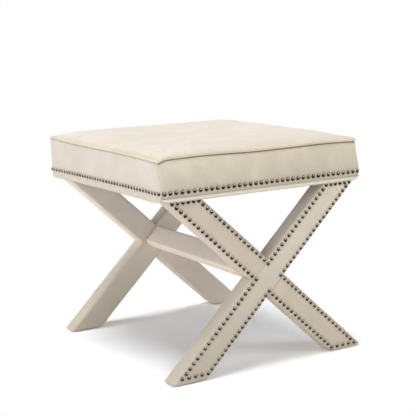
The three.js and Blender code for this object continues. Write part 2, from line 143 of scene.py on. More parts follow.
def planed_softwood(name, grain_turn):
    """Planed pine, unfinished: pale wood between darker growth rings, with fine open fibres."""
    material, tree, shader, place = start_material(name)
    grain = add_node(
        tree,
        "Mapping",
        {"Vector": place, "Rotation": grain_turn, "Scale": (fibre_stretch, 1, 1)},
        vector_type="TEXTURE",
    ).outputs[0]
    rings = add_node(
        tree,
        "TexWave",
        {
            "Vector": grain,
            "Scale": math.pi / 10 / ring_spacing,
            "Distortion": 5,
            "Detail": 2,
            "Detail Scale": 0.6,
        },
        bands_direction="Z",
    ).outputs["Fac"]
    wood = blend(tree, rings, "#E6CDA3", "#CBA06B")
    fibres = speckle(tree, grain, fibre_width)
    pores = rescale(tree, fibres, (0.35, 0.75), (0.0, 0.35))
    tone = blend(tree, pores, wood, "#A97C4B")
    relief = bump(tree, fibres, 0.35, 0.0003)
    set_inputs(tree, shader, {"Base Color": tone, "Normal": relief, "Roughness": 0.62})
    return material


def dress(nodes, material):
    """Gives CAD nodes that stay as they are their material."""
    for name in nodes:
        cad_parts[name].data.materials.clear()
        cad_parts[name].data.materials.append(material)


dress(
    ["front_long_leg", "back_long_leg"],
    planed_softwood("planed_pine_long_legs", (0, -arm_angle, 0)),
)
dress(
    ["front_cross_leg", "back_cross_leg"],
    planed_softwood("planed_pine_cross_legs", (0, arm_angle, 0)),
)

# Covers of the X frames: velvet over thin wadding, cut as strips, wrapped round the boards and
# sewn up. The long leg's cover is one strip, and the cross leg's two butt against it. The short
# pile looks lighter or darker as it was last brushed, and has painted shade where seams and
# nails press it in.
cover_thickness = 0.002
cover_edge_radius = 0.0052
heel_round = 0.012
rim_round = 0.0035
glide_hole = 0.0103
glide_x = 0.1955
board_gap = 0.0003
butt_gap = 0.0001
butt_reach = 0.0018
butt_band = 0.003
butt_turn_in = 0.0006
cover_puff = 0.0007
cover_ripple = 0.0005
cover_unevenness = 0.00015
nail_inset = 0.0072
nail_line = arm_width / 2 - nail_inset
leg_dimple = 0.0010
leg_dimple_reach = 0.0052
# Nails down the inner and the outer edge of each half arm, hand-spaced 11.8 to 13.2 mm apart, and
# the heights of the rows across its outer end. The long leg's lean is 1, and the cross leg's -1
nail_counts = {
    (1, "upper"): (17, 21),
    (1, "lower"): (18, 20),
    (-1, "upper"): (17, 20),
    (-1, "lower"): (17, 20),
}
end_rows = {
    (1, "upper"): 0.3669,
    (1, "lower"): 0.0145,
    (-1, "upper"): 0.3718,
    (-1, "lower"): 0.0105,
}
end_row_gaps = {"upper": 5, "lower": 4}
# The tips of the arms that would show past the seat's lip are cut off just behind it
lip_z = 0.3715
trim_x = 0.2335
trim_rise = 0.0035
nap_patch = 0.085
pile_grain = 0.0016


def ivory_velvet(name, brushed_light, brushed_dark, crushed_shade, painted_low_shade=None, roll_light_colour="#FFFFFF"):
    """Short-pile cotton velvet: a soft sheen at grazing angles and cloudy, hand-sized nap marks.

    Real pile is about 0.1 mm across and can't show, so its grain is drawn coarser. Towards the
    bottom the colour turns darker, as painted shade, between two given heights and to a given
    colour. Painted shade of a darker colour lies in dimples, creases and folds, and painted light
    of a last colour over the lip's roll.
    """
    material, tree, shader, place = start_material(name)
    patches = speckle(tree, place, nap_patch, 3, 0.7)
    grain = speckle(tree, place, pile_grain)
    nap = blend(tree, rescale(tree, patches, (0.34, 0.66)), brushed_dark, brushed_light)
    pile = blend(tree, rescale(tree, grain, (0.3, 0.75), (0.0, 0.22)), nap, brushed_dark)
    # Painted shade: the colour darkens between the two heights, towards the lower one
    if painted_low_shade:
        high_z, low_z, shaded = painted_low_shade
        drift = min(0.02, 0.25 * (high_z - low_z))
        cloud = rescale(tree, patches, (0.3, 0.7), (-drift, drift))
        height = add_node(tree, "SeparateXYZ", {"Vector": place}).outputs["Z"]
        height = add_node(tree, "Math", {0: height, 1: cloud}, operation="ADD").outputs[0]
        pile = blend(tree, rescale(tree, height, (high_z, low_z)), pile, shaded)
    # Painted shade where the pile is pressed in, and painted light over the lip's roll
    pressed_shade = add_node(tree, "Attribute", attribute_name="pressed_shade").outputs["Fac"]
    roll_light = add_node(tree, "Attribute", attribute_name="roll_light").outputs["Fac"]
    colour = blend(tree, roll_light, blend(tree, pressed_shade, pile, crushed_shade), roll_light_colour)
    set_inputs(
        tree,
        shader,
        {
            "Base Color": colour,
            "Normal": bump(tree, grain, 0.3, 0.0005),
            "Roughness": 0.92,
            "Specular IOR Level": 0.2,
            "Sheen Weight": 0.25,
            "Sheen Roughness": 0.5,
            "Sheen Tint": srgb("#F4EEE4"),
        },
    )
    return material


def bell(away, width):
    """1 in the middle, falling off smoothly to next to nothing at twice the width away from it."""
    return math.exp(-((away / width) ** 2))


def wrap_strip(across, along, place):
    """Velvet starts as a flat strip. place gives the point for a step across it and along it."""
    strip = bmesh.new()
    bmesh.ops.create_grid(strip, x_segments=across, y_segments=along, size=0.5)
    for point in strip.verts:
        point.co = place(
            round((point.co.x + 0.5) * across), round((point.co.y + 0.5) * along)
        )
    bmesh.ops.remove_doubles(strip, verts=strip.verts, dist=1e-6)
    bmesh.ops.recalc_face_normals(strip, faces=strip.faces)
    return strip


def press_down(strip, spots, depth, reach, shade_strength=0.55):
    """Nails or stitches pull the padding in, and the pile round them gets a painted shade."""
    layer = strip.verts.layers.float.get("pressed_shade") or strip.verts.layers.float.new("pressed_shade")
    tree = kdtree.KDTree(len(spots))
    for index, (spot, _) in enumerate(spots):
        tree.insert(spot, index)
    tree.balance()
    for point in strip.verts:
        _, index, distance = tree.find(point.co)
        spot, outward = spots[index]
        if distance < 3 * reach and (point.co - spot).dot(outward) > -0.003:
            share = bell(distance, reach)
            point.co -= outward * depth * share
            # Painted shade round the nail or stitch
            point[layer] = max(point[layer], shade_strength * share)


def make_piece(name, form, material, wall=0.0):
    """An object from a finished bmesh. A wall is laid on the inner side of an open form."""
    mesh = bpy.data.meshes.new(name)
    form.to_mesh(mesh)
    form.free()
    mesh.polygons.foreach_set("use_smooth", [True] * len(mesh.polygons))
    mesh.materials.append(material)
    piece = bpy.data.objects.new(name, mesh)
    bpy.context.scene.collection.objects.link(piece)
    if wall:
        thick = piece.modifiers.new("wall", "SOLIDIFY")
        thick.thickness = wall
        thick.offset = -1
    return piece


def rounded_section(share, half_width, half_depth, radius):
    """A point on a rounded rectangle, and the way out of it there, from the middle of its back."""
    straight_across = 2 * (half_width - radius)
    straight_up = 2 * (half_depth - radius)
    bend = math.pi / 2 * radius
    walk = share * (2 * straight_across + 2 * straight_up + 4 * bend)
    sides = [
        (straight_across / 2, (0, half_depth), (1, 0)),
        (straight_up, (half_width, half_depth - radius), (0, -1)),
        (straight_across, (half_width - radius, -half_depth), (-1, 0)),
        (straight_up, (-half_width, radius - half_depth), (0, 1)),
        (straight_across / 2, (radius - half_width, half_depth), (1, 0)),
    ]
    corners = [(1, 1, 90), (1, -1, 0), (-1, -1, -90), (-1, 1, 180)]
    for index, (length, start, step) in enumerate(sides):
        if walk <= length or index == 4:
            here = Vector((start[0] + step[0] * walk, start[1] + step[1] * walk))
            return here, Vector((-step[1], step[0]))
        walk -= length
        if walk <= bend:
            sign_x, sign_y, from_angle = corners[index]
            angle = math.radians(from_angle) - walk / radius
            out = Vector((math.cos(angle), math.sin(angle)))
            centre = Vector((sign_x * (half_width - radius), sign_y * (half_depth - radius)))
            return centre + out * radius, out
        walk -= bend


def arm_slice(lean, z, offset, depth, side):
    """A point of an arm at height z, offset along its width and depth out from the X's plane."""
    x = lean * (z - crossing_z) * arm_cos / arm_sin + offset / arm_sin
    return Vector((x, side * (frame_y + depth), z))


def meeting_height(offset, shift):
    """Height above the crossing where a line on one arm meets a plane along the other."""
    run = (shift - offset * math.cos(2 * arm_angle)) / math.sin(2 * arm_angle)
    return run * arm_sin + offset * arm_cos


def foot_pull(lean, z, offset):
    """How much the rounded heel of a foot takes off the offset at height z."""
    rise = z - foot_z
    if lean * offset <= 0 or rise >= heel_round * arm_sin:
        return 1.0
    share = math.sqrt(max(rise, 0) / (heel_round * arm_sin))
    half = arm_width / 2 / arm_sin
    return (half - heel_round * (1 - share) ** 2) / half


across_steps = 112
under_steps = 3
rim_steps = 4


def cover_point(lean, side, part, step_across, step_along, along_steps):
    """A point of an arm's cover, for one step round the arm and one along it."""
    share = step_across / across_steps
    (offset, back), (out_offset, out_back) = rounded_section(
        share, arm_width / 2, arm_depth / 2, cover_edge_radius
    )
    depth = -back
    low_z, high_z = foot_z, leg_top_z
    if abs(lean * leg_height / 2 * arm_cos / arm_sin + offset / arm_sin) > trim_x:
        high_z = lip_z + trim_rise
    # On the faces, a butted end reaches a little way over the long cover's rounded edge
    reach = butt_reach * max(0, 1 - (arm_depth / 2 - abs(depth)) / butt_band)
    meeting = arm_width / 2 + butt_gap - reach
    if part == "upper":
        low_z = crossing_z + meeting_height(offset, meeting)
    if part == "lower":
        high_z = crossing_z + meeting_height(offset, -meeting)
    if part != "upper":
        middle = arm_slice(lean, foot_z, 0, 0, side)
        if step_along < under_steps:
            rim = 1 - rim_round / (arm_depth / 2)
            edge = Vector((offset / arm_sin * rim * foot_pull(lean, foot_z, offset), depth * rim))
            hole = edge.normalized() * glide_hole
            hole.x += -lean * glide_x - middle.x
            flat = hole.lerp(edge, step_along / under_steps)
            return middle + Vector((flat.x, side * flat.y, 0))
        if step_along < under_steps + rim_steps:
            turn = math.pi / 2 * (step_along - under_steps) / rim_steps
            rim = 1 - rim_round * (1 - math.sin(turn)) / (arm_depth / 2)
            z = foot_z + rim_round * (1 - math.cos(turn))
            pull = foot_pull(lean, z, offset)
            return arm_slice(lean, z, offset * rim * pull, depth * rim, side)
        low_z += rim_round
        up = (step_along - under_steps - rim_steps) / (along_steps - under_steps - rim_steps)
    else:
        up = step_along / along_steps
    z = low_z + (high_z - low_z) * up
    point = arm_slice(lean, z, offset * foot_pull(lean, z, offset), depth, side)
    # The wadding puffs the faces out a little. From 42 to 12 mm under the seat's lip that fades
    # away, and in the first 20 mm above the floor it comes up
    fade = min(1, max(0, (lip_z - 0.012 - z) / 0.03)) * min(1, (z - foot_z) / 0.02)
    puff = cover_puff * (1 - (offset / arm_width * 2) ** 4)
    puff += noise.noise(point * 28) * cover_ripple + noise.noise(point * 90) * cover_unevenness
    # Butted ends are turned in over a soft edge
    if part != "long":
        end = (z - low_z if part == "upper" else high_z - z) / arm_sin
        puff -= butt_turn_in * bell(end, 0.0016)
        fade = max(fade, bell(end, 0.004))
    out = Vector((out_offset * arm_sin, 0, -lean * out_offset * arm_cos))
    out.y = -side * out_back
    return point + out * puff * fade


def nail_places(lean, side, part):
    """Where the nails of one half arm go: down both edges, and across its outer end."""
    outer_y = side * (frame_y + arm_depth / 2)
    up = 1 if part == "upper" else -1
    end_z = end_rows[lean, part]
    notch_side = nail_line / arm_sin
    notch_top = nail_line / arm_cos
    rows = []
    for edge in (-1, 1):
        end = arm_slice(lean, end_z, edge * nail_line, arm_depth / 2, side)
        outer = edge * lean * up > 0
        start_x = lean * up * notch_side if outer else 0.0
        start_z = crossing_z if outer else crossing_z + up * notch_top
        rows.append((Vector((start_x, outer_y, start_z)), end, nail_counts[lean, part][outer]))
    places = []
    for start, end, count in rows:
        places += [start.lerp(end, step / count) for step in range(1, count + 1)]
    first, last = rows[0][1], rows[1][1]
    gaps = end_row_gaps[part]
    places += [first.lerp(last, step / gaps) for step in range(1, gaps)]
    return places


# The back frame's velvets are lighter copies of the front's: painted light, as the back frame
# stands in the seat's shade. The long covers darken towards the floor as painted shade.
long_cover_velvet = {
    "front": ivory_velvet(
        "ivory_velvet_front_long_cover", "#EFE6D4", "#EAE0CC", "#8E7C63", (0.40, 0.0, "#CCC4B3")
    ),
    "back": ivory_velvet(
        "ivory_velvet_back_long_cover", "#FCF3E3", "#F8EEDC", "#8E7C63", (0.40, 0.0, "#D8D0BE")
    ),
}
cross_cover_velvet = {
    "front": ivory_velvet("ivory_velvet_front_cross_covers", "#DED1C0", "#D5C9B6", "#8E7C63"),
    "back": ivory_velvet("ivory_velvet_back_cross_covers", "#F2E6D8", "#EADECE", "#8E7C63"),
}
leg_nails = {}
for frame_name, side in (("front", -1), ("back", 1)):
    outward = Vector((0, side, 0))
    # One nail stands in each notch of the crossing
    face_y = side * (frame_y + arm_depth / 2)
    notches = [Vector((0, face_y, crossing_z + way * nail_line / arm_cos)) for way in (1, -1)]
    notches += [Vector((way * nail_line / arm_sin, face_y, crossing_z)) for way in (1, -1)]
    parts = (("long", 1, 290), ("upper", -1, 128), ("lower", -1, 135))
    spots = {
        "long": notches + nail_places(1, side, "upper") + nail_places(1, side, "lower"),
        "upper": nail_places(-1, side, "upper"),
        "lower": nail_places(-1, side, "lower"),
    }
    leg_nails[frame_name] = [(spot, outward) for row in spots.values() for spot in row]
    for part, lean, along_steps in parts:
        cover = wrap_strip(
            across_steps,
            along_steps,
            lambda across, along: cover_point(lean, side, part, across, along, along_steps),
        )
        if part == "long":
            # The cross leg's board passes through the long cover
            half_depth = arm_depth / 2 - cover_thickness - board_gap
            half_board = arm_width / 2 - cover_thickness
            hole_low = meeting_height(-half_board, arm_width / 2)
            hole_high = meeting_height(half_board, arm_width / 2)
            through = []
            for face in cover.faces:
                middle = face.calc_center_median()
                rise = (middle.z - crossing_z) * (-1 if middle.x > 0 else 1)
                if abs(abs(middle.y) - frame_y) < half_depth and hole_low < rise < hole_high:
                    through.append(face)
            bmesh.ops.delete(cover, geom=through, context="FACES")
        driven = [(spot, outward) for spot in spots[part]]
        press_down(cover, driven, leg_dimple, leg_dimple_reach)
        piece = make_piece(
            f"velvet_{frame_name}_{part}_cover",
            cover,
            (long_cover_velvet if part == "long" else cross_cover_velvet)[frame_name],
            cover_thickness,
        )
        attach(piece, "root")
        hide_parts(f"{frame_name}_{part}_sleeve")

# Upholstery nails of the X frames: pressed steel domes, 9.2 mm across, bronze-plated and darkened.
# A painted highlight lies on the upper side of each dome, a spot of light over a near-black rim.
# Each sits on its rim in a dimple of the velvet.
nail_radius = 0.0046
nail_height = 0.0030
nail_sink = 0.0009
nail_tilt = 0.09
dome_steps = 3
patina_grain = 0.004
bright_spread = math.radians(20)

nail_bronze, tree, shader, place = start_material("antiqued_bronze_plate")
patina = speckle(tree, place, patina_grain, 3)
# Painted highlight: on the upper side of each dome the dark plate turns light
highlight_spot = add_node(tree, "Attribute", attribute_name="highlight_spot").outputs["Fac"]
spot_and_patina = add_node(tree, "Math", {0: highlight_spot, 1: patina}, operation="ADD").outputs[0]
tarnish_and_highlight = blend(tree, rescale(tree, spot_and_patina, (0.62, 1.4)), "#1F1A17", "#BFB4A5")
gloss = rescale(tree, patina, to=(0.16, 0.26))
set_inputs(tree, shader, {"Base Color": tarnish_and_highlight, "Roughness": gloss, "Metallic": 1.0})

nail_form = bmesh.new()
highlight_layer = nail_form.verts.layers.float.new("highlight_spot")
dome = []
ball_radius = (nail_radius ** 2 + nail_height ** 2) / 2 / nail_height
rim_angle = math.asin(nail_radius / ball_radius)
for step in range(dome_steps + 1):
    lean_out = rim_angle * (1 - step / dome_steps)
    rise = ball_radius * math.cos(lean_out) - ball_radius + nail_height
    dome.append(nail_form.verts.new((ball_radius * math.sin(lean_out), 0, rise)))
dome.insert(0, nail_form.verts.new((nail_radius * 0.86, 0, -0.0006)))
profile = [nail_form.edges.new(pair) for pair in zip(dome, dome[1:])]
bmesh.ops.spin(
    nail_form,
    geom=dome + profile,
    cent=(0, 0, 0),
    axis=(0, 0, 1),
    angle=2 * math.pi,
    steps=10,
    use_merge=True,
)
bmesh.ops.remove_doubles(nail_form, verts=nail_form.verts, dist=1e-6)
bmesh.ops.holes_fill(nail_form, edges=nail_form.edges, sides=0)
bmesh.ops.recalc_face_normals(nail_form, faces=nail_form.faces)
# The painted highlight lies above the middle of each head: its Y axis is turned up when it
# is driven
bright_way = Vector((0, 0.47, 0.88)).normalized()
for point in nail_form.verts:
    way_out = point.co + Vector((0, 0, ball_radius - nail_height))
    way_out.x *= 0.5
    point[highlight_layer] = bell(way_out.angle(bright_way), bright_spread)
nail_mesh = bpy.data.meshes.new("nail")
nail_form.to_mesh(nail_mesh)
nail_form.free()


def drive_nails(name, spots):
    """A row of nails, each set square to the velvet but for a hammered degree or two."""
    row = bmesh.new()
    for spot, outward in spots:
        tilt = Vector((noise.noise(spot * 900), noise.noise(spot * 700), noise.noise(spot * 500)))
        turn = (outward + tilt * nail_tilt).to_track_quat("Z", "Y").to_matrix().to_4x4()
        first = len(row.verts)
        row.from_mesh(nail_mesh)
        row.verts.ensure_lookup_table()
        place = Matrix.Translation(spot - outward * nail_sink) @ turn
        bmesh.ops.transform(row, matrix=place, verts=row.verts[first:])
    piece = make_piece(name, row, nail_bronze)
    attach(piece, "root")


for frame_name, spots in leg_nails.items():
    drive_nails(f"nails_{frame_name}_frame", spots)

# Glides: brown moulded nylon discs that are nailed under the feet. The floor scuffs them, which
# mottles their satin skin.
scuff_grain = 0.0025
nylon, tree, shader, place = start_material("moulded_brown_nylon")
scuff = speckle(tree, place, scuff_grain, 4)
skin = blend(tree, scuff, "#37312C", "#4E463F")
relief = bump(tree, scuff, 0.25, 0.0002)
set_inputs(tree, shader, {"Base Color": skin, "Normal": relief, "Roughness": 0.5, "IOR": 1.53})
dress(["glide_1", "glide_2", "glide_3", "glide_4"], nylon)

# Stretcher: a pine board between the two crossings in a velvet cover of its own, laid along the
# long legs. The cover is drawn tight over its edges and puckers a little at both ends.
stretcher_low, stretcher_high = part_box("stretcher_sleeve")
stretcher_middle = (stretcher_low + stretcher_high) / 2
stretcher_half_width = 0.0248
stretcher_half_thickness = 0.0118
stretcher_edge_radius = 0.0042
stretcher_puff = 0.0009
stretcher_pucker = 0.0007
stretcher_turn_in = 0.0012
stretcher_steps = 210
# Its velvet is a near-white copy, lighter than the legs': painted light, as the stretcher sits in
# the seat's shade.
stretcher_velvet = ivory_velvet("ivory_velvet_stretcher", "#FFF4E7", "#FCEDDD", "#A08C76")


def stretcher_point(step_across, step_along):
    """A point of the stretcher's cover, square to its tilted section."""
    (wide, thick), (out_wide, out_thick) = rounded_section(
        step_across / across_steps,
        stretcher_half_width,
        stretcher_half_thickness,
        stretcher_edge_radius,
    )
    share = step_along / stretcher_steps
    y = stretcher_low.y + (stretcher_high.y - stretcher_low.y) * share
    end = min(y - stretcher_low.y, stretcher_high.y - y)
    pucker = noise.noise(Vector((wide * 110, thick * 110, y * 12))) * math.exp(-end / 0.05)
    puff = stretcher_puff * (1 - (wide / stretcher_half_width) ** 4) * min(1, end / 0.02)
    puff += stretcher_pucker * pucker + noise.noise(Vector((wide, thick, y)) * 30) * 0.0004
    puff -= stretcher_turn_in * bell(end, 0.0025)
    wide += out_wide * puff
    thick += out_thick * puff
    x = stretcher_middle.x + wide * arm_cos - thick * arm_sin
    z = stretcher_middle.z + wide * arm_sin + thick * arm_cos
    return Vector((x, y, z))


piece = make_piece(
    "velvet_stretcher_cover",
    wrap_strip(across_steps, stretcher_steps, stretcher_point),
    stretcher_velvet,
    cover_thickness,
)
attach(piece, "root")
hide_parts("stretcher_sleeve")
dress(["stretcher_core"], planed_softwood("planed_pine_stretcher", (0, 0, math.pi / 2)))

# Bolts, barrel nuts, screws and washers: cold-headed steel with bright zinc plate, which has a
# faint yellow and blue cast and fine draw marks.
zinc_cast = 0.006
draw_mark_width = 0.0005
zinc, tree, shader, place = start_material("bright_zinc_plated_steel")
plate = blend(tree, speckle(tree, place, zinc_cast), "#B4B9C4", "#C6C2B2")
gloss = rescale(tree, speckle(tree, place, draw_mark_width), to=(0.24, 0.44))
set_inputs(tree, shader, {"Base Color": plate, "Roughness": gloss, "Metallic": 1.0})
dress(["stretcher_bolt_front", "stretcher_bolt_back", "barrel_nut_front", "barrel_nut_back"], zinc)
dress([f"leg_screw_{number}" for number in (1, 2, 3, 4)], zinc)
dress([f"leg_washer_{number}" for number in (1, 2, 3, 4)], zinc)

# Seat frame: four planed pine rails, butted and screwed, with triangular glue blocks in the
# corners. They keep their CAD shapes, and the grain runs along each rail.
dress(["front_rail", "back_rail"], planed_softwood("planed_pine_end_rails", (0, 0, 0)))
dress(["left_rail", "right_rail"], planed_softwood("planed_pine_side_rails", (0, 0, math.pi / 2)))
dress(
    [f"corner_block_{number}" for number in (1, 2, 3, 4)],
    planed_softwood("planed_pine_blocks", (0, 0, math.radians(45))),
)

# Deck: a sanded poplar plywood board, screwed down on the rails. Its faces have a soft, straight
# figure, and its edge shows the plies as thin bands.
ply_thickness = 0.0018
veneer_figure = 0.006
figure_stretch = 22
plywood, tree, shader, place = start_material("sanded_poplar_plywood")
veneer_grain = add_node(
    tree, "Mapping", {"Vector": place, "Scale": (figure_stretch, 1, 1)}, vector_type="TEXTURE"
).outputs[0]
veneer = blend(tree, speckle(tree, veneer_grain, veneer_figure, 5), "#DDBF92", "#B98F5E")
plies = add_node(
    tree,
    "TexWave",
    {"Vector": place, "Scale": math.pi / 10 / (2 * ply_thickness)},
    bands_direction="Z",
).outputs["Fac"]
tone = blend(tree, rescale(tree, plies, (0.8, 1.0), (0.0, 0.5)), veneer, "#8A653C")
set_inputs(tree, shader, {"Base Color": tone, "Roughness": 0.68})
dress(["seat_deck"], plywood)

# Foam: a block of open-cell polyurethane, glued to the deck, with a crown that is highest in the
# middle and turns down to the welt. Its sides are cut straight.
seat_half_x = 0.247
seat_half_y = 0.270
corner_radius = 0.0135
rim_z = 0.4617
crease_z = 0.4565
nail_row_z = 0.391
crown_rise = 0.0148
crown_power = 9.75
left_power = 22
corner_droop = 0.003
panel_inset = 0.0116
foam_rim_inset = 0.0146
foam_inset = 0.0072
foam_sink = 0.0040
foam_cell = 0.0016
foam_low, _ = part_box("foam_pad")


def lay_out(u, v, inset):
    """A place for shares u and v, from -1 to 1, across the seat, with its corners rounded.

    Steps are shorter towards the rim, where the crown turns down.
    """
    u, v = (0.3 * share + 0.7 * math.sin(math.pi / 2 * share) for share in (u, v))
    half_x = seat_half_x - inset
    half_y = seat_half_y - inset
    ring = max(abs(u), abs(v))
    radius = (corner_radius - inset) * ring ** 6
    past_x = abs(u) * half_x - (half_x - radius)
    past_y = abs(v) * half_y - (half_y - radius)
    x, y = abs(u) * half_x, abs(v) * half_y
    if past_x > 0 and past_y > 0:
        reach = max(past_x, past_y)
        length = math.hypot(past_x, past_y)
        x = half_x - radius + past_x / length * reach
        y = half_y - radius + past_y / length * reach
    return math.copysign(x, u), math.copysign(y, v)


def smooth_step(share):
    """A share kept between 0 and 1 that starts and ends gently."""
    share = min(1.0, max(0.0, share))
    return share * share * (3 - 2 * share)


def settled(place):
    """Hand sewing and stuffing leave the seat's cover a little off its true shape.

    Its top edge sinks at the corners, stands high on the left half of the front, and bulges out
    and sags on the left side near the front. The back left corner is drawn out and up.
    """
    a = max(-1, min(1, place.x / seat_half_x))
    b = max(-1, min(1, place.y / seat_half_y))
    rise = smooth_step((place.z - nail_row_z) / (crease_z - nail_row_z))
    rim = max(abs(a), abs(b)) ** 16
    corner = math.exp(-((a + 1) ** 2 + (b - 1) ** 2) / 0.09)
    lift = 0.0070 * corner - corner_droop * abs(a * b) ** 8
    # The lower edge runs up to the near left corner
    hem = 0.0035 * (1 - a) * (1 - b) - 0.002 * (1 + a) * (1 - b) - 0.001 * (1 - a) * (1 + b)
    bulge = 0.0
    if a < 0:
        near = bell(b + 1, 0.42)
        outward_share = smooth_step((-a - 0.6) / 0.35)
        bulge = (0.0045 * rise + near * (0.0038 + 0.0022 * rise)) * outward_share
        turn = smooth_step((a - b) * 0.25 / 0.030 + 0.2)
        if b < 0:
            lift += 0.0068 * smooth_step(-a * 1.5) * turn - 0.0018 * near * (1 - turn)
    else:
        bulge = 0.0025 * smooth_step((a - 0.6) / 0.35) * rise
        lift -= 0.0028 * smooth_step((a - 0.55) / 0.4) * bell(b + 1, 0.5)
    lift = lift * rim * rise + hem / 4 * (1 - rise)
    return place + Vector((-bulge - 0.003 * corner, 0.004 * corner, lift))


def settle(form):
    """Puts every point of a piece of the seat where hand work leaves it."""
    for point in form.verts:
        point.co = settled(point.co)


def crown_at(x, y):
    """Height of the crowned top above its rim.

    The stuffing is fuller towards the left side, and a little slack by the back left corner.
    """
    away_x = min(1, abs(x) / (seat_half_x - panel_inset))
    away_y = min(1, abs(y) / (seat_half_y - panel_inset))
    power = crown_power + left_power / (1 + math.exp((x + 0.052) / 0.040))
    slack = 0.05 * math.exp(-((x + seat_half_x) ** 2 + (y - seat_half_y) ** 2) / 0.06 ** 2)
    return crown_rise * (1 - slack) * (1 - away_x ** power) * (1 - away_y ** power)


foam_material, tree, shader, place = start_material("open_cell_polyurethane_foam")
cells = add_node(tree, "TexVoronoi", {"Vector": place, "Scale": 1 / foam_cell}).outputs["Distance"]
skin = blend(tree, cells, "#E3D3A0", "#F5EAC6")
relief = bump(tree, cells, 0.6, 0.0006)
set_inputs(tree, shader, {"Base Color": skin, "Normal": relief, "Roughness": 0.95})

foam_form = bmesh.new()
bmesh.ops.create_grid(foam_form, x_segments=56, y_segments=60, size=1.0)
rim = [edge for edge in foam_form.edges if edge.is_boundary]
# Under the crown's rim come a shoulder below the welt, the top of the sides and their foot
foam_rings = (
    (foam_rim_inset, crease_z),
    (foam_inset, crease_z - 0.0035),
    (foam_inset, foam_low.z),
)
for level in (1, 2, 3):
    grown = bmesh.ops.extrude_edge_only(foam_form, edges=rim)["geom"]
    rim = [item for item in grown if isinstance(item, bmesh.types.BMEdge)]
    for point in {corner for edge in rim for corner in edge.verts}:
        point.co.z = -level
for point in foam_form.verts:
    level = round(-point.co.z)
    inset, z = foam_rings[level - 1] if level else (foam_rim_inset, rim_z - foam_sink)
    x, y = lay_out(point.co.x, point.co.y, inset)
    point.co = Vector((x, y, z if level else z + crown_at(x, y)))
settle(foam_form)
bmesh.ops.holes_fill(foam_form, edges=foam_form.edges, sides=0)
bmesh.ops.recalc_face_normals(foam_form, faces=foam_form.faces)
piece = make_piece("foam_block", foam_form, foam_material)
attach(piece, "root")
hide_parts("foam_pad")

# Top panel: velvet over wadding, cut to the seat's outline, sewn to the welt all round and filled
# out by the foam under it. It is inflated from a slightly lower shape with its rim held, as the
# sewn seam holds it.
# Towards the rim, where the crown turns down, the colour darkens as painted shade.
seat_top_velvet = ivory_velvet(
    "ivory_velvet_seat_top", "#F3ECE2", "#ECE3D6", "#B7A78F", (0.4755, 0.4625, "#E4DBC7")
)
panel_thickness = 0.0022
skirt_drop = 0.0045
swell = 0.0014
swell_margin = 0.0003
swell_pressure = 14
swell_frames = 20


def inflate(piece, held, pressure, limits):
    """Cloth simulation with the held points fixed. It's applied up to each point's limit."""
    held_group = piece.vertex_groups.new(name="held")
    held_group.add(held, 1.0, "REPLACE")
    before = [point.co.copy() for point in piece.data.vertices]
    cloth = piece.modifiers.new("cloth", "CLOTH")
    cloth.settings.vertex_group_mass = "held"
    cloth.settings.quality = 4
    cloth.settings.mass = 0.3
    cloth.settings.use_pressure = True
    cloth.settings.uniform_pressure_force = pressure
    cloth.settings.effector_weights.gravity = 0.0
    cloth.point_cache.frame_start = 1
    cloth.point_cache.frame_end = swell_frames
    for number in range(1, swell_frames + 1):
        bpy.context.scene.frame_set(number)
    filled_out = piece.evaluated_get(bpy.context.evaluated_depsgraph_get()).to_mesh()
    after = [point.co.copy() for point in filled_out.vertices]
    piece.modifiers.remove(cloth)
    piece.vertex_groups.remove(held_group)
    bpy.context.scene.frame_set(1)
    for point, start, end, most in zip(piece.data.vertices, before, after, limits):
        move = end - start
        if move.length > most:
            move.length = most
        point.co = start + move


top_form = bmesh.new()
bmesh.ops.create_grid(top_form, x_segments=92, y_segments=100, size=1.0)
limits = []
for point in top_form.verts:
    sunk = swell * (1 - max(abs(point.co.x), abs(point.co.y)) ** 10)
    limits.append(sunk + swell_margin)
    x, y = lay_out(point.co.x, point.co.y, panel_inset)
    point.co = Vector((x, y, rim_z + crown_at(x, y) - sunk))
# A skirt goes down behind the welt
rim = [edge for edge in top_form.edges if edge.is_boundary]
rim_points = {corner for edge in rim for corner in edge.verts}
skirt = bmesh.ops.extrude_edge_only(top_form, edges=rim)["geom"]
skirt = [item for item in skirt if isinstance(item, bmesh.types.BMVert)]
bmesh.ops.translate(top_form, verts=skirt, vec=(0, 0, -skirt_drop))
settle(top_form)
top_form.verts.index_update()
held = [point.index for point in [*rim_points, *skirt]]
limits += [0.0] * len(skirt)
piece = make_piece("velvet_top_panel", top_form, seat_top_velvet)
if swell:
    inflate(piece, held, swell_pressure, limits)
smooth = piece.modifiers.new("smooth", "SUBSURF")
smooth.levels = 1
smooth.render_levels = 1
thick = piece.modifiers.new("wall", "SOLIDIFY")
thick.thickness = panel_thickness
thick.offset = -1
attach(piece, "root")
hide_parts("top_panel")

# Boxing: four velvet strips round the side of the seat, with wadding behind them. Each ends in a
# sewn seam in the middle of a corner, is drawn in between the welt and the nails, and rolls under
# at the bottom into a soft lip with a fold just above its lower edge.
rail_z = 0.3794
draw_in = 0.0045
boxing_inner = 0.0069
lip_inner = 0.0046
lip_tuck = 0.003
lip_round = 0.0022
fold_height = 0.0096
fold_width = 0.0017
roll_height = 0.0052
roll_width = 0.0022
groove_width = 0.0034
lip_turn_up = 0.004
seat_dimple = 0.0011
seat_dimple_reach = 0.0056
# The sides and ends have copies of one velvet. Both darken towards the lip as painted shade, and
# carry painted light over the roll. The ends' copy, which the front shows, is darker still:
# painted shade.
seat_side_velvet = ivory_velvet(
    "ivory_velvet_seat_sides",
    "#EDE5DC",
    "#E4DACD",
    "#98866A",
    (0.47, 0.375, "#E0D8CC"),
    "#DFD6BF",
)
seat_end_velvet = ivory_velvet(
    "ivory_velvet_seat_ends",
    "#EEE5D1",
    "#E2D8C1",
    "#87714D",
    (0.455, 0.385, "#CEC6B4"),
    "#F3EDDA",
)
boxing_velvet = {
    "front": seat_end_velvet,
    "right": seat_side_velvet,
    "back": seat_end_velvet,
    "left": seat_side_velvet,
}


